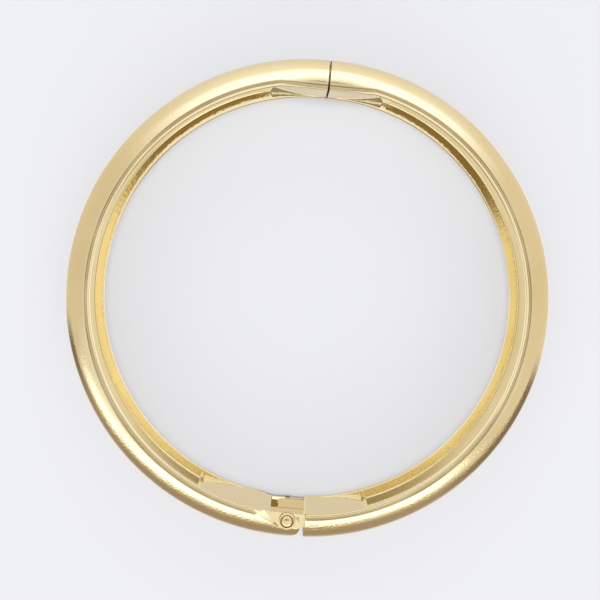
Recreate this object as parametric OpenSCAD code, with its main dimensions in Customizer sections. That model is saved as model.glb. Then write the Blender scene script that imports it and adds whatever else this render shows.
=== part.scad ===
// Hinged bangle: two hollow gold-plated half shells, a riveted knuckle hinge and a tongue clasp.
// It lies on its side. Z is the axis of the ring, the hinge is at -Y and the clasp at +Y.
// All sizes are in millimetres.

/* [Ring] */
// Outer size from hinge to clasp
ring_length = 64.2; // [60:0.1:70]
// How much wider the ring is across than from hinge to clasp
ring_oval = 0.8; // [0.2:0.1:1.2]
// Width of the band, which is the height of the ring as it lies
band_w = 11; // [9.5:0.1:12]

/* [Section] */
// Radial thickness of the dome, from the flat rim to its crown
dome_rise = 3.65; // [3.4:0.05:3.9]
// Width of the flat rim along each edge
rim_w = 0.45; // [0.4:0.05:0.6]
// Thickness of the two lips that border the recessed lining
lip_t = 0.9; // [0.7:0.05:0.9]
// Depth of the recessed lining behind the lips
recess = 1.25; // [1.1:0.05:1.4]
// Thickness of the sheet metal
sheet = 0.6; // [0.5:0.05:0.7]

/* [Hinge] */
// Distance from the lips to the axis of the rivet
pin_inset = 1.1; // [1.05:0.05:1.3]
// Radius of the rivet's shank
pin_r = 0.6; // [0.5:0.05:0.65]
// Radius of the rivet's heads
head_r = 1.1; // [0.9:0.05:1.15]
// Height of the rivet's domed heads
head_h = 0.6; // [0.4:0.05:0.7]
// Depth that is ground off each rim to seat a rivet head
ground = 1; // [0.95:0.05:1.1]
// Height of the lower ear
low_ear = 1.9; // [1.8:0.05:2.4]
// Height at which the upper ear begins
high_ear = 7.3; // [6.8:0.1:7.6]
// Play between the middle knuckle and each ear, along the rivet
knuckle_play = 0.15; // [0.1:0.05:0.3]
// Radius of the middle knuckle's barrel
knuckle_r = 1.5; // [1.3:0.05:1.6]
// Radius of the ears' rounded ends
ear_r = 1.9; // [1.8:0.05:2]
// Distance from the rivet's axis to the end of the right half
hinge_gap = 2.4; // [2.35:0.05:2.8]

/* [Hinge strips] */
// Angle from the hinge at which the right strip touches the lips
right_touch = 6.4; // [5:0.1:8]
// Angle from the hinge at which the left strip touches the lips
left_touch = 9.3; // [8:0.1:11]
// Length of each strip from there to its end on the lining
strip_l = 7.35; // [6.5:0.05:7.6]

/* [Clasp] */
// Width of the seam between the two halves
seam = 0.25; // [0.2:0.05:0.4]
// Distance of the clasp plates from the centre, at the lower rim
plate_low = 28.1; // [28:0.05:28.3]
// Distance of the clasp plates from the centre, at the upper rim
plate_high = 27.4; // [27.2:0.05:27.9]
// Reach of each clasp plate along the ring
plate_l = 9.2; // [8:0.1:9.5]
// Width of the tongue
tongue_w = 4; // [3:0.1:4.2]
// Thickness of the tongue
tongue_t = 0.8; // [0.6:0.05:0.9]
// Reach of the tongue past the middle of the seam
tongue_reach = 3; // [2:0.1:3.5]
// Play round the tongue in the right half's slot
slot_play = 0.2; // [0.15:0.05:0.25]

/* [Hidden] */
$fn = 96;
gold = [0.86, 0.72, 0.43];

// The ring, each half about a centre of its own
out_r = ring_length / 2;
half_shift = ring_oval / 2;
rim_r = out_r - dome_rise;
lip_r = rim_r - rim_w;
lining_r = lip_r + recess;
mid_z = band_w / 2;

// The dome's arc, through both rims and the crown
dome_r = (mid_z * mid_z + dome_rise * dome_rise) / (2 * dome_rise);
dome_c = out_r - dome_r;

// The rivet, and the flat inner faces of the ears and the knuckle
pin_y = -(lip_r + pin_inset);
knuckle_y = -(lip_r + 0.1);
// Where the left half's notch for the knuckle begins
notch_x = 2.3;
// The ears' rounded end, and the thin tab beside it
ear_centre = [0.15, pin_y - 0.95];
tab_x = 2.15;
tab_t = 0.4;
// Where the ramp of each ground flat starts, the way it faces, and its run for each millimetre of rise
ramp_foot = [2.27, pin_y + 0.45];
ramp_a = 137;
ramp_run = 1.1;
// Bevel on the lower ear's inner edge, and its length from the notch
bevel = 0.3;
bevel_l = 1.8;
// Rounded corner of the middle knuckle's flat side, and how far its arm reaches out from the rivet's axis
corner_r = 0.7;
arm_set = 1.45;
// Thickness of the walls that close the hollow
wall = 0.9;
hinge_wall = 1.5;
// Running and fixed clearances round the rivet
run = 0.05;
fit = 0.02;

// The tongue's place, in the middle of the hollow
tongue_y = lining_r + sheet + 0.15;

// How far the sweeps run on beyond both ends, in degrees, and how far faces that meet lap over
overlap_a = 8;
lap = 0.1;
// How far cutters reach past what they cut, nearby and all over
past = 5;
far = 80;

// Outline of the whole band with the recess and the hollow filled in
module band_section() {
    intersection() {
        translate([dome_c, mid_z]) circle(dome_r);
        translate([lip_r, 0]) square([out_r - lip_r + 1, band_w]);
    }
}

// Outline of the recess between the two lips
module recess_section() {
    translate([lip_r - 1, lip_t]) square([recess + 1, band_w - 2 * lip_t]);
}

// Outline of the hollow between the lining and the dome
module hollow_section() {
    intersection() {
        translate([dome_c, mid_z]) circle(dome_r - sheet);
        translate([lining_r + sheet, 0]) square([dome_rise, band_w]);
    }
}

// Sweeps an outline round the right half, from one angle off the hinge to another off the clasp
module sweep(hinge_a, clasp_a) {
    translate([half_shift, 0, 0])
        rotate([0, 0, hinge_a - 90])
            rotate_extrude(angle = 180 - hinge_a - clasp_a) children();
}

// Angle at which a place along X lies on the band
function band_angle(x) = asin((x - half_shift) / (lining_r + sheet + 1));

// Everything on the right of the seam at the clasp and of a place along X at the hinge
module right_of(hinge_x) {
    translate([0, 0, -past]) linear_extrude(band_w + 2 * past)
        polygon([[seam / 2, far], [far, far], [far, -far], [hinge_x, -far], [hinge_x, 0], [seam / 2, 0]]);
}

// Straight strip beside the hinge, which touches the lips at one angle and dies out on the lining
module hinge_strip(touch) {
    translate([half_shift, 0, -past]) rotate([0, 0, touch])
        translate([strip_l - far, -far - lip_r, 0]) cube([far, far, band_w + 2 * past]);
}

// Flat pad at the hinge, a little proud of the ears' inner faces
module hinge_pad() {
    translate([-far, -far, -past]) cube([far + notch_x - lap, far + knuckle_y + lap, band_w + 2 * past]);
}

// Straight plate beside the clasp, which leans in towards the upper rim
module clasp_plate() {
    rotate([90, 0, 90]) linear_extrude(plate_l)
        polygon([[plate_low, 0], [plate_high, band_w], [far, band_w], [far, 0]]);
}

// One half of the band on the right, hollow, with its lips, strip and plate
module half_band(hinge_x, hinge_end, touch) {
    difference() {
        intersection() {
            union() {
                sweep(-overlap_a, -overlap_a) band_section();
                intersection() {
                    clasp_plate();
                    translate([half_shift, 0, 0]) cylinder(r = rim_r - rim_w / 2, h = band_w);
                }
            }
            right_of(hinge_x);
        }
        difference() {
            sweep(-overlap_a, -overlap_a) recess_section();
            hinge_strip(touch);
            hinge_pad();
            clasp_plate();
        }
        sweep(band_angle(hinge_end), band_angle(seam / 2 + wall)) hollow_section();
    }
}

// Hole through both ears or the knuckle for the rivet
module rivet_hole(clearance) {
    translate([0, pin_y, -past]) cylinder(r = pin_r + clearance, h = band_w + 2 * past);
}

// Opening for the tongue, with the same play on every side
module tongue_slot(play) {
    translate([-past, tongue_y - play, mid_z - tongue_w / 2 - play])
        cube([2 * past, tongue_t + 2 * play, tongue_w + 2 * play]);
}

// Space above the flat that is ground round the upper rivet head, with a ramp up to the rim
module ground_flat() {
    flat_z = band_w - ground;
    translate([ramp_foot[0], ramp_foot[1], 0]) rotate([90, 0, ramp_a]) linear_extrude(2 * past, center = true)
        polygon([[0, flat_z], [past, flat_z], [past, flat_z + past], [-ramp_run * past, flat_z + past]]);
}

// What is cut from the left half's end to leave its two ears, drawn on the right
module ear_cutters() {
    // Notch for the middle knuckle
    translate([notch_x - far, -far, low_ear]) cube([far, far, high_ear - low_ear]);
    // Space past the ears' rounded ends
    translate([0, 0, -past]) linear_extrude(band_w + 2 * past) difference() {
        translate([ear_centre[0] - past, -out_r - past]) square([past, 3 * past]);
        translate(ear_centre) circle(ear_r);
        translate([-tab_x, knuckle_y - tab_t]) square([tab_x + 1, tab_t + past]);
    }
    // Flats ground for the rivet's heads
    ground_flat();
    translate([0, 0, band_w]) mirror([0, 0, 1]) ground_flat();
    // Flat inner face, and the bevel on the lower ear's inner edge
    translate([notch_x - far, knuckle_y, -past]) cube([far, past, band_w + 2 * past]);
    translate([notch_x - bevel_l, knuckle_y, low_ear - bevel])
        rotate([45, 0, 0]) translate([0, 0, -lap]) cube([bevel_l - lap, wall, wall]);
}

// Left half with its two ears, hinge strip, clasp plate and the seat of the tongue
module left_half() {
    color(gold) mirror([1, 0, 0]) difference() {
        half_band(-past, notch_x + hinge_wall, left_touch);
        ear_cutters();
        rivet_hole(fit);
        tongue_slot(fit);
    }
}

// Barrel round the rivet with a flat inner side, and the arm that joins it to the right half
module middle_knuckle() {
    low = low_ear + knuckle_play;
    height = high_ear - low_ear - 2 * knuckle_play;
    arm = hinge_gap + wall / 2;
    translate([0, 0, low]) difference() {
        union() {
            translate([0, pin_y, 0]) cylinder(r = knuckle_r, h = height);
            translate([0, pin_y - arm_set, 0]) cube([arm, past, height]);
            translate([-knuckle_r + knuckle_play, pin_y, 0]) cube([knuckle_r, past, height]);
        }
        translate([-far / 2, knuckle_y, -past]) cube([far, far, height + 2 * past]);
        difference() {
            translate([-past, -far, -past]) cube([past - knuckle_r + knuckle_play + corner_r, far, past + corner_r]);
            translate([-knuckle_r + knuckle_play + corner_r, 0, corner_r])
                rotate([90, 0, 0]) cylinder(r = corner_r, h = far);
        }
    }
}

// Right half with its middle knuckle, hinge strip, clasp plate and the slot for the tongue
module right_half() {
    color(gold) difference() {
        union() {
            half_band(hinge_gap, hinge_gap + hinge_wall, right_touch);
            middle_knuckle();
        }
        rivet_hole(run);
        tongue_slot(slot_play);
    }
}

// Domed head of the rivet, standing on the plane z = 0
module rivet_head() {
    ball_r = (head_r * head_r + head_h * head_h) / (2 * head_h);
    intersection() {
        cylinder(r = head_r, h = head_h);
        translate([0, 0, head_h - ball_r]) sphere(ball_r);
    }
}

// Shank with a domed head at each end
module hinge_rivet() {
    low = ground - fit;
    high = band_w - ground + fit;
    color(gold) translate([0, pin_y, 0]) {
        translate([0, 0, low]) cylinder(r = pin_r, h = high - low);
        translate([0, 0, high]) rivet_head();
        translate([0, 0, low]) mirror([0, 0, 1]) rivet_head();
    }
}

// Plain tongue that stands out of the left half and enters the right
module clasp_tongue() {
    color(gold)
        translate([-tongue_reach - wall, tongue_y, mid_z - tongue_w / 2])
            cube([2 * tongue_reach + wall, tongue_t, tongue_w]);
}

left_half();
right_half();
hinge_rivet();
clasp_tongue();
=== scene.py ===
"""Hinged bangle in polished pale gold plating, lying on its side on a pale floor.

Two hollow domed halves turn about a riveted knuckle hinge and close with a tongue clasp.
Sizes are named in millimetres and every mesh is built in metres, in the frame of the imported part.
"""
import logging
from dataclasses import dataclass
from enum import Enum
from math import asin, atan, atan2, cos, degrees, hypot, pi, radians, sin, tan
from typing import Iterable, Sequence

import bmesh
import bpy
from mathutils import Matrix, Vector


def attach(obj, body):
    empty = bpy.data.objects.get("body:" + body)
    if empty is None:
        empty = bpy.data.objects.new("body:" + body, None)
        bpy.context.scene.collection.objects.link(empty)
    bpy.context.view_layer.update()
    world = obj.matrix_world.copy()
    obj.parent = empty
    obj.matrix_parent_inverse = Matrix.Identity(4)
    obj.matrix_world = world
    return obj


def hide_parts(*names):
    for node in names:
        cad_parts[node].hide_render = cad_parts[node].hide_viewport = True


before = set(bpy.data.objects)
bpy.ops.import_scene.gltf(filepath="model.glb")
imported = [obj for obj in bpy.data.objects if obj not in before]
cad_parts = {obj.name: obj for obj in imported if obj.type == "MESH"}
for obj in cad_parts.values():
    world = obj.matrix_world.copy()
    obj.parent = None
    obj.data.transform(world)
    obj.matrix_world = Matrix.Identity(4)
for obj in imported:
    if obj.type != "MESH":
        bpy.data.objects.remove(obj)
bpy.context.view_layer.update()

MM = 0.001
LOG = logging.getLogger("bangle")

# Layers that the finish reads, 0 where a mesh has none: painted shade in the scored line, the seam and
# the rivet's groove, and wear, which is -1 on the lining, where a paler sheen is painted, and up to 1 on the
# open dome.
PAINTED_SHADE = "grime"
WEAR_AND_SHEEN = "wear"

# Rounding allowed where a vertex is tested against a size, and distances at which vertices merge or
# lie on a cutting plane, in millimetres.
SLACK = 0.005
MERGE = 0.0005
ON_PLANE = 0.0001

# Cutters reach this far past the part, in millimetres.
BEYOND = 2.0
OUTSIDE = -40.0
HOLLOW = -20.0

Point = tuple[float, float]
Span = tuple[float, float]
Triple = tuple[float, float, float]
Stops = tuple[tuple[float, str], ...]
Tree = bpy.types.NodeTree
Socket = bpy.types.NodeSocket


class Slot(Enum):
    """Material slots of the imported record."""

    POLISHED = "polished_gold"
    RIVET = "rivet_gold"


class Body(Enum):
    """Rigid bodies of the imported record."""

    LEFT = "left"
    RIGHT = "right"


def linear(code: str) -> tuple[float, float, float, float]:
    """Turn an sRGB colour into linear light.

    Args:
        code: Hex colour such as "#d8b873".

    Returns:
        Linear red, green, blue and an alpha of 1.
    """
    parts = [int(code[i:i + 2], 16) / 255 for i in (1, 3, 5)]
    red, green, blue = (c / 12.92 if c <= 0.04045 else ((c + 0.055) / 1.055) ** 2.4 for c in parts)
    return red, green, blue, 1.0


def add_node(tree: Tree, kind: str, settings: dict | None = None,
             links: dict | None = None) -> bpy.types.Node:
    """Add one node with its settings and incoming links.

    Args:
        tree: Node tree that takes the node.
        kind: Type name of the node.
        settings: Values by attribute name, or by socket name or index, or the stops of a colour ramp.
        links: Source sockets by the name or index of the input they feed.

    Returns:
        The new node.
    """
    node = tree.nodes.new(kind)
    for key, value in (settings or {}).items():
        if key == "stops":
            elements = node.color_ramp.elements
            while len(elements) < len(value):
                elements.new(0.5)
            for element, (position, code) in zip(elements, value):
                element.position = position
                element.color = linear(code)
        elif isinstance(key, str) and hasattr(node, key):
            setattr(node, key, value)
        else:
            node.inputs[key].default_value = value
    for key, source in (links or {}).items():
        tree.links.new(source, node.inputs[key])
    return node


@dataclass(frozen=True)
class PlatedGold:
    """Pale gold electroplate over brass, buffed to a mirror and lightly worn.

    The buffing leaves a nearly sharp mirror. Wear gives the dome a fine grain and hairline scratches,
    most of all near the hinge, where the bangle is handled. The plating's tone drifts a little from
    place to place. The lining is painted a paler tone, a painted sheen, and a dull brown painted shade
    darkens the scored line, the seam and the rivet's groove.
    """

    name: str
    tone: str
    worn_tone: str
    roughness: float
    # Painted sheen: the paler tone of the lining. Painted shade: the dark tone of the scored line, the seam
    # and the rivet's groove, dull and not metal.
    painted_lining_sheen: str = "#f2ead6"
    painted_shade_tone: str = "#50361a"
    painted_shade_roughness: float = 0.5
    drift_mm: float = 9.0
    # Spans of noise over which tone, roughness, wear, painted shade and scratches change.
    tone_span: Span = (0.35, 0.7)
    rough_span: Span = (0.3, 0.75)
    patch_span: Span = (0.38, 0.6)
    painted_shade_span: Span = (0.38, 0.55)
    hairline_span: Span = (0.62, 0.72)
    rough_share: Span = (0.8, 1.4)
    # Real scratches and pits are some 0.02 mm across. They are drawn coarser, so that they show.
    hairline_mm: float = 0.28
    hairline_height_mm: float = 0.004
    hairline_stretch: float = 0.06
    hairline_turns: Span = (25.0, 115.0)
    hairline_tilt: Span = (0.3, 0.2)
    hairline_strength: float = 0.35
    grain_mm: float = 0.34
    grain_height_mm: float = 0.08
    worn_y_mm: float = -20.0
    fresh_y_mm: float = 5.0
    fresh_wear: float = 0.25
    patch_wear: float = 0.35
    lining_wear: float = 0.02
    # Least share of the painted shade, where the noise weakens it.
    least_painted_shade: float = 0.85

    def build(self) -> bpy.types.Material:
        """Make the material.

        Returns:
            A new node material.
        """
        material = bpy.data.materials.new(self.name)
        material.use_nodes = True
        tree = material.node_tree
        tree.nodes.clear()
        place = add_node(tree, "ShaderNodeTexCoord").outputs["Object"]
        drift = add_node(tree, "ShaderNodeTexNoise", {"Scale": 1 / (self.drift_mm * MM), "Detail": 3.0},
                         {"Vector": place}).outputs[0]
        wear = add_node(tree, "ShaderNodeAttribute", {"attribute_name": WEAR_AND_SHEEN}).outputs["Fac"]
        # Share of the painted shade, which makes the surface dark, dull and not metal.
        grime = self.grime(tree, drift)
        metal = add_node(tree, "ShaderNodeMapRange", {"To Min": 1.0, "To Max": 0.0}, {"Value": grime})
        least, most = (self.roughness * share for share in self.rough_share)
        rough = add_node(tree, "ShaderNodeMapRange",
                         {"From Min": self.rough_span[0], "From Max": self.rough_span[1], "To Min": least,
                          "To Max": most}, {"Value": drift})
        dulled = add_node(tree, "ShaderNodeMath",
                          {"operation": "MULTIPLY_ADD", 1: self.painted_shade_roughness, "use_clamp": True},
                          {0: grime, 2: rough.outputs[0]})
        shader = add_node(tree, "ShaderNodeBsdfPrincipled",
                          links={"Base Color": self.colour(tree, drift, wear, grime),
                                 "Metallic": metal.outputs[0], "Roughness": dulled.outputs[0],
                                 "Normal": self.relief(tree, place, drift, wear)})
        add_node(tree, "ShaderNodeOutputMaterial", links={"Surface": shader.outputs[0]})
        return material

    def colour(self, tree: Tree, drift: Socket, wear: Socket, grime: Socket) -> Socket:
        """Mix the plating's drifting tone with the lining's paler painted sheen and the painted shade.

        Args:
            tree: Node tree of the material.
            drift: Noise that changes the tone from place to place.
            wear: Wear of the place, below 0 on the lining, where a paler tone is painted as a sheen.
            grime: Share of painted shade.

        Returns:
            Colour of the surface.
        """
        stops = tuple(zip(self.tone_span, (self.tone, self.worn_tone)))
        plating = add_node(tree, "ShaderNodeValToRGB", {"stops": stops}, {0: drift})
        # The lining is painted in a paler tone, a painted sheen.
        sheen_share = add_node(tree, "ShaderNodeMapRange",
                           {"To Max": 0.0, "From Min": -1.0, "From Max": 0.0, "To Min": 1.0}, {"Value": wear})
        before_painted_shade = add_node(tree, "ShaderNodeMix", {"data_type": "RGBA", 7: linear(self.painted_lining_sheen)},
                         {0: sheen_share.outputs[0], 6: plating.outputs[0]})
        return add_node(tree, "ShaderNodeMix", {"data_type": "RGBA", 7: linear(self.painted_shade_tone)},
                        {0: grime, 6: before_painted_shade.outputs[2]}).outputs[2]

    def relief(self, tree: Tree, place: Socket, drift: Socket, wear: Socket) -> Socket:
        """Add the grain and the scratches of the worn places.

        Args:
            tree: Node tree of the material.
            place: Object coordinates.
            drift: Noise that makes the wear patchy.
            wear: Wear of the place, at its least on the lining, which it also marks for the painted sheen.

        Returns:
            Normal of the surface.
        """
        grain = add_node(tree, "ShaderNodeTexNoise", {"Scale": 1 / (self.grain_mm * MM), "Detail": 3.0},
                         {"Vector": place})
        patches = add_node(tree, "ShaderNodeMapRange",
                           {"From Min": self.patch_span[0], "From Max": self.patch_span[1],
                            "To Min": self.patch_wear, "To Max": 1.0}, {"Value": drift})
        along = add_node(tree, "ShaderNodeSeparateXYZ", links={0: place}).outputs[1]
        handled = add_node(tree, "ShaderNodeMapRange",
                           {"From Min": self.worn_y_mm * MM, "From Max": self.fresh_y_mm * MM, "To Min": 1.0,
                            "To Max": self.fresh_wear}, {"Value": along})
        most = add_node(tree, "ShaderNodeMath", {"operation": "MULTIPLY"},
                        {0: patches.outputs[0], 1: handled.outputs[0]})
        worn = add_node(tree, "ShaderNodeMapRange", {"To Min": self.lining_wear},
                        {"Value": wear, "To Max": most.outputs[0]})
        pits = add_node(tree, "ShaderNodeMath", {"operation": "MULTIPLY"},
                        {0: grain.outputs[0], 1: worn.outputs[0]})
        pitted = add_node(tree, "ShaderNodeBump", {"Strength": 1.0, "Distance": self.grain_height_mm * MM},
                          {"Height": pits.outputs[0]})
        scratches = add_node(tree, "ShaderNodeMath", {"operation": "MULTIPLY"},
                             {0: self.hairlines(tree, place), 1: worn.outputs[0]})
        return add_node(tree, "ShaderNodeBump",
                        {"Strength": self.hairline_strength, "Distance": self.hairline_height_mm * MM},
                        {"Height": scratches.outputs[0], "Normal": pitted.outputs[0]}).outputs[0]

    def grime(self, tree: Tree, drift: Socket) -> Socket:
        """Find the scored line, the seam and the rivet's groove, where a dark shade is painted in.

        Args:
            tree: Node tree of the material.
            drift: Noise that makes the line stronger and weaker along its way.

        Returns:
            Share of painted shade, from 0 to 1 except in the seam, where it is more.
        """
        line = add_node(tree, "ShaderNodeAttribute", {"attribute_name": PAINTED_SHADE}).outputs["Fac"]
        amount = add_node(tree, "ShaderNodeMapRange",
                          {"From Min": self.painted_shade_span[0], "From Max": self.painted_shade_span[1],
                           "To Min": self.least_painted_shade, "To Max": 1.0}, {"Value": drift})
        return add_node(tree, "ShaderNodeMath", {"operation": "MULTIPLY"},
                        {0: line, 1: amount.outputs[0]}).outputs[0]

    def hairlines(self, tree: Tree, place: Socket) -> Socket:
        """Add two crossing sets of fine scratches.

        Args:
            tree: Node tree of the material.
            place: Object coordinates.

        Returns:
            Height of the scratches, from 0 to 1.
        """
        heights = []
        for turn in self.hairline_turns:
            mapping = add_node(tree, "ShaderNodeMapping", {"Rotation": (*self.hairline_tilt, radians(turn)),
                                                           "Scale": (1, self.hairline_stretch, 1)},
                               {"Vector": place})
            noise = add_node(tree, "ShaderNodeTexNoise",
                             {"Scale": 1 / (self.hairline_mm * MM), "Detail": 2.0},
                             {"Vector": mapping.outputs[0]})
            line = add_node(tree, "ShaderNodeMapRange", {"From Min": self.hairline_span[0],
                                                         "From Max": self.hairline_span[1]},
                            {"Value": noise.outputs[0]})
            heights.append(line.outputs[0])
        return add_node(tree, "ShaderNodeMath", {"operation": "MAXIMUM"},
                        {0: heights[0], 1: heights[1]}).outputs[0]


def rounded(corners: Sequence[tuple[Point, float]], steps: int = 4) -> list[Point]:
    """Round the corners of a closed outline.

    Args:
        corners: Each corner and its radius, in order.
        steps: Segments in each rounded corner.

    Returns:
        Points of the rounded outline.
    """
    points: list[Point] = []
    for index, (corner, radius) in enumerate(corners):
        here = Vector(corner)
        if radius == 0:
            points.append(tuple(here))
            continue
        back = (Vector(corners[index - 1][0]) - here).normalized()
        on = (Vector(corners[(index + 1) % len(corners)][0]) - here).normalized()
        half_angle = back.angle(on) / 2
        centre = here + (back + on).normalized() * radius / sin(half_angle)
        first = here + back * radius / tan(half_angle) - centre
        last = here + on * radius / tan(half_angle) - centre
        sweep = first.angle_signed(last)
        for step in range(steps + 1):
            arm = first.copy()
            arm.rotate(Matrix.Rotation(-sweep * step / steps, 2))
            points.append(tuple(centre + arm))
    return points


def arc(centre: Point, radius: float, start: float, end: float, steps: int) -> list[Point]:
    """Points along an arc.

    Args:
        centre: Centre of the arc.
        radius: Radius of the arc.
        start: First angle in degrees, counter-clockwise from +X.
        end: Last angle in degrees.
        steps: Number of segments.

    Returns:
        The points, both ends included.
    """
    angles = [radians(start + (end - start) * step / steps) for step in range(steps + 1)]
    return [(centre[0] + radius * cos(a), centre[1] + radius * sin(a)) for a in angles]


def loop_of(mesh: bmesh.types.BMesh, points: Iterable[Vector]) -> list[bmesh.types.BMVert]:
    """Add the vertices and edges of a closed loop.

    Args:
        mesh: Mesh that takes the loop.
        points: Places of its vertices, in order.

    Returns:
        The new vertices.
    """
    verts = [mesh.verts.new(point) for point in points]
    for index, vert in enumerate(verts):
        mesh.edges.new((verts[index - 1], vert))
    return verts


def prism(outline: Sequence[Point], low: float, high: float) -> bmesh.types.BMesh:
    """Raise an outline into a closed solid.

    Args:
        outline: Points in the XY plane, in millimetres.
        low: Height of its lower face, in millimetres.
        high: Height of its upper face, in millimetres.

    Returns:
        The solid, in metres.
    """
    mesh = bmesh.new()
    verts = loop_of(mesh, [Vector((x, y, low)) * MM for x, y in outline])
    face = mesh.faces.new(verts)
    raised = bmesh.ops.extrude_face_region(mesh, geom=[face])["geom"]
    tops = [item for item in raised if isinstance(item, bmesh.types.BMVert)]
    bmesh.ops.translate(mesh, vec=(0, 0, (high - low) * MM), verts=tops)
    bmesh.ops.recalc_face_normals(mesh, faces=mesh.faces)
    return mesh


def block(x: Span, y: Span, z: Span) -> bmesh.types.BMesh:
    """Make a box from its limits along each axis, in millimetres, as a mesh in metres."""
    return prism([(x[0], y[0]), (x[1], y[0]), (x[1], y[1]), (x[0], y[1])], z[0], z[1])


def to_object(mesh: bmesh.types.BMesh, name: str) -> bpy.types.Object:
    """Turn a bmesh into an object at the origin.

    Args:
        mesh: Finished mesh, which is freed.
        name: Name of the object.

    Returns:
        The linked object.
    """
    data = bpy.data.meshes.new(name)
    mesh.to_mesh(data)
    mesh.free()
    thing = bpy.data.objects.new(name, data)
    bpy.context.scene.collection.objects.link(thing)
    return thing


def carve(body: bmesh.types.BMesh, tools: Iterable[tuple[str, bmesh.types.BMesh]]) -> bmesh.types.BMesh:
    """Cut and join closed solids.

    Args:
        body: Solid to work on, which is freed.
        tools: Operation name and solid for each step, in order.

    Returns:
        The carved solid.
    """
    thing = to_object(body, "carved")
    helpers = []
    for operation, tool in tools:
        helper = to_object(tool, "tool")
        helpers.append(helper)
        step = thing.modifiers.new("carve", "BOOLEAN")
        step.operation = operation
        step.solver = "MANIFOLD"
        step.object = helper
    result = bmesh.new()
    result.from_object(thing, bpy.context.evaluated_depsgraph_get())
    for item in [thing, *helpers]:
        data = item.data
        bpy.data.objects.remove(item)
        bpy.data.meshes.remove(data)
    bmesh.ops.remove_doubles(result, verts=result.verts, dist=MERGE * MM)
    return result


def finish_piece(mesh: bmesh.types.BMesh, name: str, material: bpy.types.Material, body: Body,
                 sharp: float = 32) -> bpy.types.Object:
    """Shade, dress and place one piece.

    Args:
        mesh: Its closed mesh.
        name: Name of the piece.
        material: Its finish.
        body: Rigid body that carries it.
        sharp: Angle in degrees from which an edge stays crisp.

    Returns:
        The finished piece.
    """
    piece = to_object(mesh, name)
    piece.data.shade_smooth()
    piece.data.set_sharp_from_angle(angle=radians(sharp))
    piece.data.materials.append(material)
    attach(piece, body.value)
    LOG.info("%s: %d faces on %s", name, len(piece.data.polygons), body.value)
    return piece


@dataclass(frozen=True)
class Ring:
    """Sizes that the pieces share, in millimetres, as in the part's source, apart from a finer seam.

    The lower ear ends at low_ear and the upper one starts at high_ear. A flat is ground into both
    rims round the rivet's heads, to a depth of ground. The tongue lies from tongue_y outwards.
    """

    length: float = 64.2
    oval: float = 0.8
    width: float = 11.0
    dome_rise: float = 3.65
    rim_w: float = 0.45
    lip_t: float = 0.9
    recess: float = 1.25
    pin_inset: float = 1.1
    hinge_gap: float = 2.4
    notch_x: float = 2.3
    knuckle_set: float = 0.1
    seam: float = 0.12
    strip_l: float = 7.35
    plate_low: float = 28.1
    plate_high: float = 27.4
    plate_l: float = 9.2
    low_ear: float = 1.9
    high_ear: float = 7.3
    ground: float = 1.0
    tongue_y: float = 30.0
    tongue_t: float = 0.8
    tongue_w: float = 4.0

    @property
    def shift(self) -> float:
        """Distance of each half's centre from the middle."""
        return self.oval / 2

    @property
    def crown_r(self) -> float:
        """Radius at the crown of the dome."""
        return self.length / 2

    @property
    def rim_r(self) -> float:
        """Outer radius of the flat rim."""
        return self.crown_r - self.dome_rise

    @property
    def lip_r(self) -> float:
        """Inner radius of the lips."""
        return self.rim_r - self.rim_w

    @property
    def lining_r(self) -> float:
        """Radius of the recessed lining."""
        return self.lip_r + self.recess

    @property
    def middle(self) -> float:
        """Height of the crown above the floor."""
        return self.width / 2

    @property
    def dome_r(self) -> float:
        """Radius of the dome's arc."""
        return (self.middle ** 2 + self.dome_rise ** 2) / (2 * self.dome_rise)

    @property
    def pin_y(self) -> float:
        """Place of the rivet's axis."""
        return -(self.lip_r + self.pin_inset)

    @property
    def knuckle_y(self) -> float:
        """Place of the flat inner faces of the hinge."""
        return -(self.lip_r + self.knuckle_set)


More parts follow.
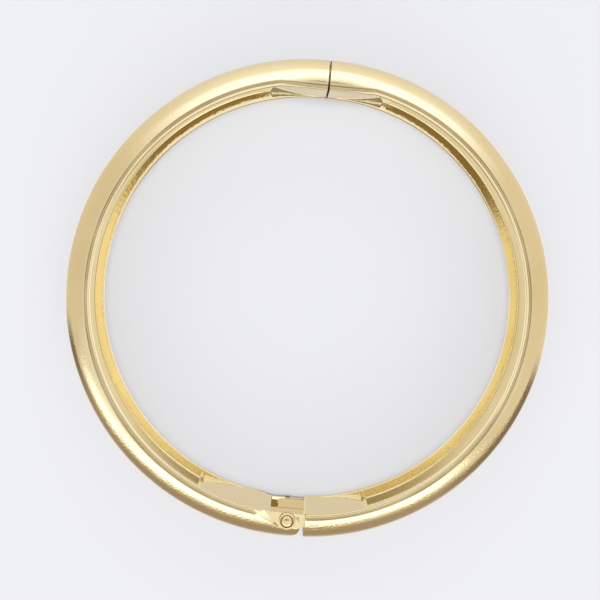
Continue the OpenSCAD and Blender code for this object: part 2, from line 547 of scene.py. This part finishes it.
@dataclass
class HalfShell:
    """One half of the band, drawn on the right of the seam.

    The dome, the flat rims, the lips and the recessed lining are one swept section, with a scored line
    between rim and dome. Beside the hinge a straight strip rises out of the lining, and beside the
    clasp a straight plate leans inwards and draws the rim and the edge of the dome in with it.
    """

    ring: Ring
    material: bpy.types.Material
    name: str
    body: Body
    touch: float
    hinge_x: float
    mirrored: bool = False
    step_deg: float = 0.75
    dome_steps: int = 44
    rim_round: float = 0.1
    groove_round: float = 0.15
    seam_round: float = 0.08
    swell_r: float = 30.2
    swell_depth: float = 2.0
    score_w: float = 0.26
    score_depth: float = 0.26
    score_lean: float = 0.3
    # Share of painted shade on the rounded edges and on the end faces at the seam.
    seam_painted_shade: float = 3.0
    face_painted_shade: float = 0.6
    seam_border: float = 0.3
    rim_taper: float = 0.9
    round_steps: int = 3
    ease_deg: float = 40.0
    crease_deg: float = 0.05

    def section(self) -> list[Point]:
        """Outline of the band's section.

        Returns:
            Radius and height of each point, in millimetres.
        """
        ring = self.ring
        top, low, high = ring.width, ring.lip_t, ring.width - ring.lip_t
        half_score = self.score_w / 2
        reach = degrees(asin((ring.middle - self.score_w * self.score_lean) / ring.dome_r))
        dome = arc((ring.crown_r - ring.dome_r, ring.middle), ring.dome_r, -reach, reach, self.dome_steps)
        corners = [
            ((ring.rim_r, top - self.score_depth), 0.0),
            ((ring.rim_r - half_score, top), half_score / 2),
            ((ring.lip_r, top), self.rim_round),
            ((ring.lip_r, high), self.rim_round),
            ((ring.lining_r, high), self.groove_round),
            ((ring.lining_r, low), self.groove_round),
            ((ring.lip_r, low), self.rim_round),
            ((ring.lip_r, 0.0), self.rim_round),
            ((ring.rim_r - half_score, 0.0), half_score / 2),
            ((ring.rim_r, self.score_depth), 0.0),
        ]
        return dome + rounded(corners)

    def sweep(self) -> bmesh.types.BMesh:
        """Spin the section round the half's own centre.

        Returns:
            Open tube from the hinge to the seam, with a ring of vertices at each crease.
        """
        ring = self.ring
        start = self.end_angle(self.hinge_x + self.seam_round, ring.crown_r)
        end = 180 - self.end_angle(ring.seam / 2 + self.seam_round, ring.crown_r)
        mesh = bmesh.new()
        place = Matrix.Translation((ring.shift * MM, 0, 0)) @ Matrix.Rotation(radians(start - 90), 4, "Z")
        grime, wear = mesh.verts.layers.float.new(PAINTED_SHADE), mesh.verts.layers.float.new(WEAR_AND_SHEEN)
        verts = loop_of(mesh, [place @ (Vector((r, 0, z)) * MM) for r, z in self.section()])
        for vert, (r, z) in zip(verts, self.section()):
            depth = min(z, ring.width - z)
            # Painted shade fills the scored line, and the lining is marked for its paler painted sheen.
            vert[grime] = 1.0 if abs(r - ring.rim_r) < self.score_w and 0 < depth <= self.score_depth else 0.0
            on_lining = abs(r - ring.lining_r) < SLACK and depth > ring.lip_t + self.groove_round / 2
            vert[wear] = -1.0 if on_lining else min(1.0, max(0.0, r - ring.rim_r - self.score_w))
        steps = round((end - start) / self.step_deg)
        bmesh.ops.spin(mesh, geom=verts + mesh.edges[:], cent=(ring.shift * MM, 0, 0), axis=(0, 0, 1),
                       angle=radians(end - start), steps=steps, use_merge=False, use_duplicate=False)
        plate_end = 180 - degrees(asin((ring.plate_l - ring.shift) / ring.lining_r))
        sides = (-self.crease_deg, self.crease_deg)
        creases = [crease + side for crease in (self.strip_end, plate_end) for side in sides]
        for angle in (self.touch, *creases):
            bmesh.ops.bisect_plane(mesh, geom=mesh.verts[:] + mesh.edges[:] + mesh.faces[:],
                                   dist=ON_PLANE * MM, plane_co=(ring.shift * MM, 0, 0),
                                   plane_no=(cos(radians(angle)), sin(radians(angle)), 0))
        return mesh

    @property
    def strip_end(self) -> float:
        """Angle at which the straight strip ends."""
        return self.touch + degrees(atan(self.ring.strip_l / self.ring.lip_r))

    def end_angle(self, x: float, radius: float) -> float:
        """Angle off the hinge or the clasp of a place along X on a circle of the given radius."""
        return degrees(asin((x - self.ring.shift) / radius))

    def polar(self, vert: bmesh.types.BMVert) -> tuple[float, float]:
        """Find a place round the half's own centre.

        Args:
            vert: Vertex of the swept tube.

        Returns:
            Radius in millimetres, and angle in degrees from the hinge round to the clasp.
        """
        x, y = vert.co.x / MM - self.ring.shift, vert.co.y / MM
        angle = degrees(atan2(x, -y))
        return hypot(x, y), angle + 360 if angle < -90 else angle

    def straighten(self, mesh: bmesh.types.BMesh) -> None:
        """Slide the rings near both ends so that the ends are flat and parallel to the YZ plane.

        Args:
            mesh: Swept tube.
        """
        ring = self.ring
        hinge_end, clasp_end = self.hinge_x + self.seam_round, ring.seam / 2 + self.seam_round
        for vert in mesh.verts:
            radius, angle = self.polar(vert)
            near_hinge = max(0.0, 1 - angle / self.ease_deg) if angle < 90 else 0.0
            near_clasp = max(0.0, 1 - (180 - angle) / self.ease_deg) if angle > 90 else 0.0
            hinge_slide = self.end_angle(hinge_end, radius) - self.end_angle(hinge_end, ring.crown_r)
            clasp_slide = self.end_angle(clasp_end, radius) - self.end_angle(clasp_end, ring.crown_r)
            angle += near_hinge * hinge_slide
            angle -= near_clasp * clasp_slide
            vert.co.x = (ring.shift + radius * sin(radians(angle))) * MM
            vert.co.y = -radius * cos(radians(angle)) * MM

    def press_inner_side(self, mesh: bmesh.types.BMesh) -> None:
        """Bring the inner side in to the strip beside the hinge and the plate beside the clasp.

        Args:
            mesh: Swept tube.
        """
        ring = self.ring
        low, high = ring.lip_t - SLACK, ring.width - ring.lip_t + SLACK
        for vert in mesh.verts:
            radius, angle = self.polar(vert)
            x, z = vert.co.x / MM, vert.co.z / MM
            in_recess = low < z < high and radius < ring.lining_r + SLACK
            limit = radius
            # The strip is a straight line that touches the circle of the lips.
            if in_recess and angle < self.strip_end:
                limit = min(limit, ring.lip_r / cos(radians(angle - self.touch)))
            if in_recess and angle < 90 and x < ring.notch_x:
                limit = min(limit, -ring.knuckle_y / cos(radians(angle)))
            # The plate leans from its lower to its upper edge. Where it comes in past the lips, lips and rim
            # come in with it, the rim narrower, and the dome's edge follows, less and less outwards.
            on_edge = not in_recess and radius < self.swell_r and min(z, ring.width - z) < self.swell_depth
            if (in_recess or on_edge) and angle > 90 and x < ring.plate_l:
                plate_y = ring.plate_low + (ring.plate_high - ring.plate_low) * z / ring.width
                plate = plate_y / cos(radians(180 - angle))
                depth = max(0.0, ring.lip_r - plate)
                taper = min(1.0, self.rim_taper * depth)
                if in_recess:
                    limit = min(limit, plate)
                elif radius < ring.rim_r:
                    limit -= depth + (radius - ring.lip_r) * taper
                else:
                    share = ((self.swell_r - radius) / (self.swell_r - ring.rim_r)) ** 2
                    limit -= (depth + ring.rim_w * taper) * share
            vert.co.x = (ring.shift + limit * sin(radians(angle))) * MM
            vert.co.y = -limit * cos(radians(angle)) * MM

    def close_ends(self, mesh: bmesh.types.BMesh) -> None:
        """Cap both ends, round the edges of the caps and paint shade on the seam's edges and faces.

        Args:
            mesh: Swept tube.
        """
        rims = [edge for edge in mesh.edges if edge.is_boundary]
        caps = bmesh.ops.holes_fill(mesh, edges=rims, sides=0)["faces"]
        bmesh.ops.recalc_face_normals(mesh, faces=mesh.faces)
        turns = [radians(90 * step / self.round_steps) for step in range(self.round_steps + 1)]
        # The rounded edges and the end faces at the seam get painted shade, the hinge end none.
        grime = mesh.verts.layers.float[PAINTED_SHADE]
        for cap in caps:
            for last, turn in zip(turns, turns[1:]):
                bmesh.ops.inset_region(mesh, faces=[cap], use_even_offset=False,
                                       thickness=self.seam_round * (cos(last) - cos(turn)) * MM,
                                       depth=self.seam_round * (sin(turn) - sin(last)) * MM)
                for vert in cap.verts:
                    vert[grime] = self.seam_painted_shade if vert.co.y > 0 else 0.0
            bmesh.ops.inset_region(mesh, faces=[cap], thickness=0.0)
            centre = cap.calc_center_bounds()
            # The border is scaled, not inset, so that it can't cross itself in the scored corner.
            reach = [max(abs(vert.co[axis] - centre[axis]) for vert in cap.verts) for axis in (1, 2)]
            shrink = (1.0, *(1 - self.seam_border * MM / half for half in reach))
            bmesh.ops.scale(mesh, vec=shrink, space=Matrix.Translation(-centre), verts=cap.verts)
            for vert in cap.verts:
                vert[grime] = self.face_painted_shade if vert.co.y > 0 else 0.0

    def fittings(self) -> list[tuple[str, bmesh.types.BMesh]]:
        """Cuts and additions at the hinge, none on a plain half."""
        return []

    def build(self) -> bpy.types.Object:
        """Make the half as one closed piece.

        Returns:
            The finished piece, riding on its body.
        """
        mesh = self.sweep()
        self.straighten(mesh)
        self.press_inner_side(mesh)
        bmesh.ops.remove_doubles(mesh, verts=mesh.verts, dist=MERGE * MM)
        self.close_ends(mesh)
        fittings = self.fittings()
        if fittings:
            mesh = carve(mesh, fittings)
        if self.mirrored:
            bmesh.ops.scale(mesh, vec=(-1, 1, 1), verts=mesh.verts)
            bmesh.ops.reverse_faces(mesh, faces=mesh.faces)
        return finish_piece(mesh, self.name, self.material, self.body)


@dataclass
class LeftHalf(HalfShell):
    """The half with the hinge's two ears."""

    ear_r: float = 1.9
    ear_x: float = 0.15
    ear_set: float = 0.95
    tab_x: float = 2.15
    tab_t: float = 0.4
    ramp_x: float = 2.27
    ramp_set: float = 0.45
    ramp_deg: float = 137.0
    ramp_run: float = 1.1
    bevel: float = 0.3
    bevel_l: float = 1.8
    bevel_end: float = 0.1
    bevel_cut: float = 0.9
    cut_x: float = -8.0
    flat_l: float = 6.0
    flat_h: float = 4.0
    flat_w: float = 5.0

    def ear_gap(self) -> bmesh.types.BMesh:
        """Space past the ears' rounded ends and their thin tabs.

        Returns:
            The cutter.
        """
        ring = self.ring
        ear_y = ring.pin_y - self.ear_set
        tab_y = ring.knuckle_y - self.tab_t
        tab_angle = 180 - degrees(asin((tab_y - ear_y) / self.ear_r))
        end = arc((self.ear_x, ear_y), self.ear_r, 270, tab_angle, steps=28)
        outline = [(self.ear_x, OUTSIDE), *end, (-self.tab_x, tab_y), (-self.tab_x, HOLLOW),
                   (self.cut_x, HOLLOW), (self.cut_x, OUTSIDE)]
        return prism(outline, -BEYOND, ring.width + BEYOND)

    def ground_flat(self, upper: bool) -> bmesh.types.BMesh:
        """Space over a flat that is ground round a rivet head, with a ramp up to the rim.

        Args:
            upper: True for the flat on the upper rim.

        Returns:
            The cutter.
        """
        flat_z = self.ring.width - self.ring.ground
        outline = [(0.0, flat_z), (self.flat_l, flat_z), (self.flat_l, flat_z + self.flat_h),
                   (-self.flat_h * self.ramp_run, flat_z + self.flat_h)]
        mesh = prism(outline, -self.flat_w, self.flat_w)
        turn = Matrix.Rotation(radians(self.ramp_deg), 4, "Z") @ Matrix.Rotation(radians(90), 4, "X")
        foot = Matrix.Translation(Vector((self.ramp_x, self.ring.pin_y + self.ramp_set, 0)) * MM)
        bmesh.ops.transform(mesh, matrix=foot @ turn, verts=mesh.verts)
        if not upper:
            bmesh.ops.scale(mesh, vec=(1, 1, -1), verts=mesh.verts)
            bmesh.ops.translate(mesh, vec=(0, 0, self.ring.width * MM), verts=mesh.verts)
            bmesh.ops.reverse_faces(mesh, faces=mesh.faces)
        return mesh

    def edge_bevel(self) -> bmesh.types.BMesh:
        """Space over the bevel on the lower ear's inner edge.

        Returns:
            The cutter.
        """
        ring = self.ring
        mesh = block((ring.notch_x - self.bevel_l, ring.notch_x - self.bevel_end), (0, self.bevel_cut),
                     (-self.bevel_end, self.bevel_cut))
        place = Matrix.Translation(Vector((0, ring.knuckle_y, ring.low_ear - self.bevel)) * MM)
        bmesh.ops.transform(mesh, matrix=place @ Matrix.Rotation(radians(45), 4, "X"), verts=mesh.verts)
        return mesh

    def fittings(self) -> list[tuple[str, bmesh.types.BMesh]]:
        """Cuts that leave the two ears.

        Returns:
            Operation and tool for each cut.
        """
        ring = self.ring
        notch = block((self.cut_x, ring.notch_x), (OUTSIDE, HOLLOW), (ring.low_ear, ring.high_ear))
        inner = block((self.cut_x, ring.notch_x), (ring.knuckle_y, HOLLOW), (-BEYOND, ring.width + BEYOND))
        tools = [notch, self.ear_gap(), self.ground_flat(True), self.ground_flat(False), inner,
                 self.edge_bevel()]
        return [("DIFFERENCE", tool) for tool in tools]


@dataclass
class RightHalf(HalfShell):
    """The half with the middle knuckle and the slot for the tongue."""

    play: float = 0.15
    barrel_r: float = 1.5
    corner_r: float = 0.7
    corner_over: float = 1.0
    corner_deep: float = 10.0
    arm_set: float = 1.45
    arm_lap: float = 0.45
    slot_play: float = 0.2
    slot_x: float = 5.0

    def knuckle(self) -> bmesh.types.BMesh:
        """Barrel with a flat inner side, and the arm that joins it to the half.

        Returns:
            The knuckle.
        """
        ring = self.ring
        low, high = ring.low_ear + self.play, ring.high_ear - self.play
        reach = ring.hinge_gap + self.arm_lap
        flat_end = -self.barrel_r + self.play
        arm_y = ring.pin_y - self.arm_set
        arm_end = 360 - degrees(asin(self.arm_set / self.barrel_r))
        barrel = arc((0, ring.pin_y), self.barrel_r, 180, arm_end, steps=30)
        outline = [(flat_end, ring.knuckle_y), (flat_end, ring.pin_y), *barrel[1:], (reach, arm_y),
                   (reach, ring.knuckle_y)]
        return prism(outline, low, high)

    def corner(self) -> bmesh.types.BMesh:
        """Space past the knuckle's rounded lower corner.

        Returns:
            The cutter.
        """
        ring = self.ring
        left, low = -self.barrel_r + self.play, ring.low_ear + self.play
        centre = (left + self.corner_r, low + self.corner_r)
        past_left, past_low = left - self.corner_over, low - self.corner_over
        outline = [*arc(centre, self.corner_r, 180, 270, steps=12), (centre[0], past_low),
                   (past_left, past_low), (past_left, centre[1])]
        mesh = prism(outline, -BEYOND, self.corner_deep)
        turn = Matrix.Translation((0, ring.knuckle_y * MM, 0)) @ Matrix.Rotation(radians(90), 4, "X")
        bmesh.ops.transform(mesh, matrix=turn, verts=mesh.verts)
        return mesh

    def fittings(self) -> list[tuple[str, bmesh.types.BMesh]]:
        """The knuckle and the tongue's slot.

        Returns:
            Operation and tool for each step.
        """
        ring, gap = self.ring, self.slot_play
        half_wide = ring.tongue_w / 2 + gap
        slot = block((-self.slot_x, self.slot_x), (ring.tongue_y - gap, ring.tongue_y + ring.tongue_t + gap),
                     (ring.middle - half_wide, ring.middle + half_wide))
        knuckle = carve(self.knuckle(), [("DIFFERENCE", self.corner())])
        return [("UNION", knuckle), ("DIFFERENCE", slot)]


@dataclass
class HingeRivet:
    """Shank with a head at each end: a flat disc with a soft edge inside a raised ring."""

    ring: Ring
    material: bpy.types.Material
    shank_r: float = 0.6
    head_r: float = 1.1
    head_h: float = 0.6
    disc_r: float = 0.78
    disc_round: float = 0.4
    groove_w: float = 0.07
    groove_depth: float = 0.3
    # Depth below the crown from which shade is painted.
    painted_shade_depth: float = 0.25
    ring_drop: float = 0.08
    seat: float = 0.02
    spin_steps: int = 64

    def profile(self) -> list[Point]:
        """Half outline of the rivet, from its top to its foot.

        Returns:
            Radius and height of each point, in millimetres.
        """
        top = self.ring.width - self.ring.ground
        crown = top + self.head_h
        ring_mid = (self.head_r + self.disc_r + self.groove_w) / 2
        ring_round = (self.head_r - self.disc_r - self.groove_w) / 2
        disc_edge = (self.disc_r - self.disc_round, crown - self.disc_round)
        disc = [(0.0, crown), *arc(disc_edge, self.disc_round, 90, 0, steps=6)]
        groove_z = crown - self.groove_depth
        groove = [(self.disc_r, groove_z), (self.disc_r + self.groove_w, groove_z)]
        ring = arc((ring_mid, crown - self.ring_drop - ring_round), ring_round, 180, 0, steps=8)
        upper = [*disc, *groove, *ring, (self.head_r, top - self.seat), (self.shank_r, top - self.seat)]
        return upper + [(r, self.ring.width - z) for r, z in reversed(upper)]

    def build(self) -> bpy.types.Object:
        """Spin the outline into the rivet.

        Returns:
            The finished piece.
        """
        mesh = bmesh.new()
        centre = Vector((0, self.ring.pin_y, 0)) * MM
        grime = mesh.verts.layers.float.new(PAINTED_SHADE)
        verts = [mesh.verts.new(centre + Vector((r, 0, z)) * MM) for r, z in self.profile()]
        for vert, (r, z) in zip(verts, self.profile()):
            # Painted shade fills the groove round the disc and darkens the head's underside and the shank.
            depth = self.ring.width - self.ring.ground + self.head_h - max(z, self.ring.width - z)
            vert[grime] = 1.0 if depth > self.painted_shade_depth else 0.0
        edges = [mesh.edges.new(pair) for pair in zip(verts, verts[1:])]
        bmesh.ops.spin(mesh, geom=verts + edges, cent=centre, axis=(0, 0, 1), angle=2 * pi,
                       steps=self.spin_steps, use_merge=True)
        bmesh.ops.remove_doubles(mesh, verts=mesh.verts, dist=2 * MERGE * MM)
        bmesh.ops.recalc_face_normals(mesh, faces=mesh.faces)
        return finish_piece(mesh, "rivet", self.material, Body.LEFT)


@dataclass
class ClaspTongue:
    """Plain flat tongue with eased edges."""

    ring: Ring
    material: bpy.types.Material
    reach: float = 3.0
    root: float = 3.9
    ease: float = 0.12
    ease_steps: int = 3

    def build(self) -> bpy.types.Object:
        """Make the tongue from a bevelled block.

        Returns:
            The finished piece.
        """
        ring = self.ring
        mesh = block((-self.root, self.reach), (ring.tongue_y, ring.tongue_y + ring.tongue_t),
                     (ring.middle - ring.tongue_w / 2, ring.middle + ring.tongue_w / 2))
        bmesh.ops.bevel(mesh, geom=mesh.edges[:], offset=self.ease * MM, segments=self.ease_steps,
                        profile=0.5, affect="EDGES", material=-1)
        return finish_piece(mesh, "tongue", self.material, Body.LEFT)


@dataclass
class Studio:
    """Pale floor, soft light from all round and the camera above the ring."""

    camera_mm: Triple = (-2.53, 5.81, 140.6)
    aim_mm: Triple = (-0.96, -0.34, 0.0)
    up: Triple = (-0.0958, 0.9954, 0.0)
    lens: float = 60.0
    sensor: float = 36.0
    clip_start: float = 0.005
    floor_size: float = 3.0
    floor_tone: str = "#aaabaf"
    floor_roughness: float = 0.9
    brightness: float = 3.2
    # Light by elevation in degrees. Straight down lies the floor under the ring, which the leaning
    # plates see, then the shade that the lips see, the floor, the horizon, a lamp and the ceiling.
    side_light: Stops = (
        (-90, "#888176"), (-84, "#888176"), (-80, "#a6a4a2"), (-72, "#a6a4a2"), (-60, "#8c857b"),
        (-5, "#8c857b"), (30, "#8a857e"), (55, "#949494"), (90, "#9c9c9c"))
    front_light: Stops = (
        (-90, "#888176"), (-85, "#888176"), (-82.3, "#5a5044"), (-76, "#5a5044"), (-60, "#8c8478"),
        (-50, "#665b50"), (-12, "#665b50"), (-3, "#746a5f"), (5, "#8e8a84"), (13, "#b8b8b8"),
        (20, "#dcdcdc"), (32, "#dcdcdc"), (42, "#a8a8a8"), (55, "#949494"), (90, "#9c9c9c"))
    back_light: Stops = (
        (-90, "#888176"), (-84, "#888176"), (-76, "#867d6c"), (-50, "#8c8882"), (-5, "#9c9a96"),
        (8, "#b4b8c4"), (32, "#b8bcc8"), (43, "#9a9a9a"), (47, "#645c50"), (60, "#645c50"),
        (66, "#9a9a9a"), (90, "#9c9c9c"))
    front_floor: Stops = (
        (-90, "#888176"), (-84, "#888176"), (-80, "#a6a4a2"), (-72, "#a6a4a2"), (-62, "#70665a"),
        (-50, "#4e453b"), (-8, "#4e453b"), (-4, "#8c857b"), (30, "#8a857e"), (55, "#949494"),
        (90, "#9c9c9c"))
    floor_edge: Span = (-0.17, -0.34)
    lamp_edge: Span = (-0.48, -0.72)
    lamp_turn: float = 0.15
    lip_turn: float = -0.12
    lip_reach: float = 0.25
    back_edge: Span = (0.5, 0.97)
    lamp_side: float = 0.14
    lamp_sag: float = 0.5
    west_shade: float = 0.92
    corner_turn: float = 0.6
    corner_edge: float = -0.2
    camera_lean: float = 8.3
    camera_dark: Triple = (0.21, 0.06, 0.2)
    camera_shade: float = 0.3
    camera_blur: float = 0.15
    softbox_height: float = 0.4
    softbox_size: float = 0.12
    softbox_power: float = 1.9

    def floor(self) -> None:
        """Lay the floor, a sheet of matt white card."""
        mesh = bmesh.new()
        bmesh.ops.create_grid(mesh, x_segments=1, y_segments=1, size=self.floor_size)
        sheet = to_object(mesh, "floor")
        material = bpy.data.materials.new("matt_white_card")
        material.use_nodes = True
        shader = material.node_tree.nodes["Principled BSDF"]
        shader.inputs["Base Color"].default_value = linear(self.floor_tone)
        shader.inputs["Roughness"].default_value = self.floor_roughness
        sheet.data.materials.append(material)
        sheet.visible_glossy = False

    def camera(self) -> None:
        """Place the camera at the photo's angle."""
        data = bpy.data.cameras.new("camera")
        data.lens = self.lens
        data.sensor_width = self.sensor
        data.clip_start = self.clip_start
        camera = bpy.data.objects.new("camera", data)
        bpy.context.scene.collection.objects.link(camera)
        place = Vector(self.camera_mm) * MM
        back = (place - Vector(self.aim_mm) * MM).normalized()
        right = Vector(self.up).cross(back).normalized()
        upward = back.cross(right)
        turn = Matrix((right, upward, back)).transposed().to_4x4()
        camera.matrix_world = Matrix.Translation(place) @ turn
        bpy.context.scene.camera = camera

    def surroundings(self) -> None:
        """Surround the ring with the light of a white studio, as the polish sees it in each direction.

        In front and behind, a soft lamp stands low. Below the horizon the polish sees the floor, which lies
        in shade in front, and next to the zenith it sees the dark of the camera.
        """
        world = bpy.data.worlds.new("studio")
        world.use_nodes = True
        tree = world.node_tree
        tree.nodes.clear()
        towards = add_node(tree, "ShaderNodeTexCoord").outputs["Generated"]
        level = add_node(tree, "ShaderNodeVectorMath", {"operation": "MULTIPLY", 1: (1, 1, 0)}, {0: towards})
        heading = add_node(tree, "ShaderNodeVectorMath", {"operation": "NORMALIZE"}, {0: level.outputs[0]})
        east, north, _ = add_node(tree, "ShaderNodeSeparateXYZ", links={0: heading.outputs[0]}).outputs
        light = self.sides(tree, towards, level.outputs[0], east, north)
        corner = add_node(tree, "ShaderNodeMath", {"operation": "MULTIPLY_ADD", 1: self.corner_turn},
                          {0: north, 2: east}).outputs[0]
        side = add_node(tree, "ShaderNodeMapRange", {"From Min": -1.0, "From Max": self.corner_edge,
                                                     "To Min": self.west_shade * self.brightness,
                                                     "To Max": self.brightness}, {"Value": corner})
        power = add_node(tree, "ShaderNodeMath", {"operation": "MULTIPLY"},
                         {0: self.camera_spot(tree, towards), 1: side.outputs[0]})
        shine = add_node(tree, "ShaderNodeBackground", links={"Color": light, "Strength": power.outputs[0]})
        add_node(tree, "ShaderNodeOutputWorld", links={0: shine.outputs[0]})
        bpy.context.scene.world = world
        bpy.context.scene.view_settings.view_transform = "Standard"

    def sides(self, tree: Tree, towards: Socket, level: Socket, east: Socket, north: Socket) -> Socket:
        """Mix the light of the sides, the front and the back by heading.

        The front lamp sags away from its middle. Its edges turn with east, one way for the dome and the
        other way close to straight down, where the lips look.

        Args:
            tree: Node tree of the world.
            towards: Direction of the ray.
            level: The same direction without its height.
            east: East part of the heading.
            north: North part of the heading.

        Returns:
            Colour of the light.
        """
        across, _, height = add_node(tree, "ShaderNodeSeparateXYZ", links={0: towards}).outputs
        share = add_node(tree, "ShaderNodeMapRange", {"From Min": -1.0}, {"Value": height}).outputs[0]
        off = add_node(tree, "ShaderNodeMath", {"operation": "SUBTRACT", 1: self.lamp_side}, {0: across})
        square = add_node(tree, "ShaderNodeMath", {"operation": "MULTIPLY"},
                          {0: off.outputs[0], 1: off.outputs[0]})
        flat = add_node(tree, "ShaderNodeVectorMath", {"operation": "DOT_PRODUCT"},
                        {0: level, 1: level}).outputs["Value"]
        sag = add_node(tree, "ShaderNodeMath", {"operation": "MULTIPLY"}, {0: square.outputs[0], 1: flat})
        sagged = add_node(tree, "ShaderNodeMath", {"operation": "MULTIPLY_ADD", 1: self.lamp_sag / 2},
                          {0: sag.outputs[0], 2: share}).outputs[0]
        turn = add_node(tree, "ShaderNodeMapRange", {"From Max": self.lip_reach, "To Min": self.lip_turn,
                                                     "To Max": self.lamp_turn}, {"Value": flat})
        turned = add_node(tree, "ShaderNodeMath", {"operation": "MULTIPLY_ADD"},
                          {0: east, 1: turn.outputs[0], 2: north}).outputs[0]
        light = self.column(tree, share, self.side_light)
        for stops, place, edge, way in ((self.front_floor, sagged, self.floor_edge, north),
                                        (self.front_light, sagged, self.lamp_edge, turned),
                                        (self.back_light, share, self.back_edge, north)):
            amount = add_node(tree, "ShaderNodeMapRange", {"interpolation_type": "SMOOTHSTEP",
                                                           "From Min": edge[0], "From Max": edge[1]},
                              {"Value": way})
            light = add_node(tree, "ShaderNodeMix", {"data_type": "RGBA"},
                             {0: amount.outputs[0], 6: light,
                              7: self.column(tree, place, stops)}).outputs[2]
        return light

    def camera_spot(self, tree: Tree, towards: Socket) -> Socket:
        """Darken an oval near the zenith, where the camera hides the light.

        Args:
            tree: Node tree of the world.
            towards: Direction of the ray.

        Returns:
            Share of the light that is left.
        """
        lean = Vector((0, -sin(radians(self.camera_lean)), cos(radians(self.camera_lean))))
        offset = add_node(tree, "ShaderNodeVectorMath", {"operation": "SUBTRACT", 1: lean}, {0: towards})
        scaled = add_node(tree, "ShaderNodeVectorMath", {"operation": "DIVIDE", 1: self.camera_dark},
                          {0: offset.outputs[0]})
        distance = add_node(tree, "ShaderNodeVectorMath", {"operation": "LENGTH"}, {0: scaled.outputs[0]})
        return add_node(tree, "ShaderNodeMapRange",
                        {"interpolation_type": "SMOOTHSTEP", "From Min": 1 - self.camera_blur,
                         "From Max": 1 + self.camera_blur, "To Min": self.camera_shade, "To Max": 1.0},
                        {"Value": distance.outputs["Value"]}).outputs[0]

    def column(self, tree: Tree, share: Socket, stops: Stops) -> Socket:
        """Add the light of one side of the studio, from below up to the zenith.

        Args:
            tree: Node tree of the world.
            share: Height of the direction, from 0 straight down to 1 straight up.
            stops: Elevation in degrees and hex colour of each stop.

        Returns:
            Colour of the light.
        """
        places = [((sin(radians(elevation)) + 1) / 2, code) for elevation, code in stops]
        return add_node(tree, "ShaderNodeValToRGB", {"stops": places}, {0: share}).outputs[0]

    def softbox(self) -> None:
        """Hang a softbox over the ring that lights the floor and stays out of the polish."""
        data = bpy.data.lights.new("overhead_softbox", "AREA")
        data.shape = "DISK"
        data.size = self.softbox_size
        data.energy = self.softbox_power
        lamp = bpy.data.objects.new("overhead_softbox", data)
        lamp.location = (0, 0, self.softbox_height)
        lamp.visible_glossy = False
        bpy.context.scene.collection.objects.link(lamp)

    def build(self) -> None:
        """Set up the camera, the floor and the light."""
        self.camera()
        self.floor()
        self.surroundings()
        self.softbox()


def main() -> None:
    """Build the bangle and its studio."""
    logging.basicConfig(level=logging.INFO)
    Studio().build()
    ring = Ring()
    polished = PlatedGold("buffed_gold_plate", "#f1e3b8", "#ecdcae", roughness=0.035).build()
    riveted = PlatedGold("rivet_gold_plate", "#efdfae", "#e6d29e", roughness=0.1).build()
    left = LeftHalf(ring, polished, "left_shell", Body.LEFT, touch=9.3, hinge_x=-3.0, mirrored=True).build()
    right = RightHalf(ring, polished, "right_shell", Body.RIGHT, touch=6.4, hinge_x=ring.hinge_gap).build()
    rivet = HingeRivet(ring, riveted).build()
    tongue = ClaspTongue(ring, riveted).build()
    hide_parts("left_half")
    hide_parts("right_half")
    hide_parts("hinge_rivet")
    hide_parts("clasp_tongue")


if __name__ == "__main__":
    main()
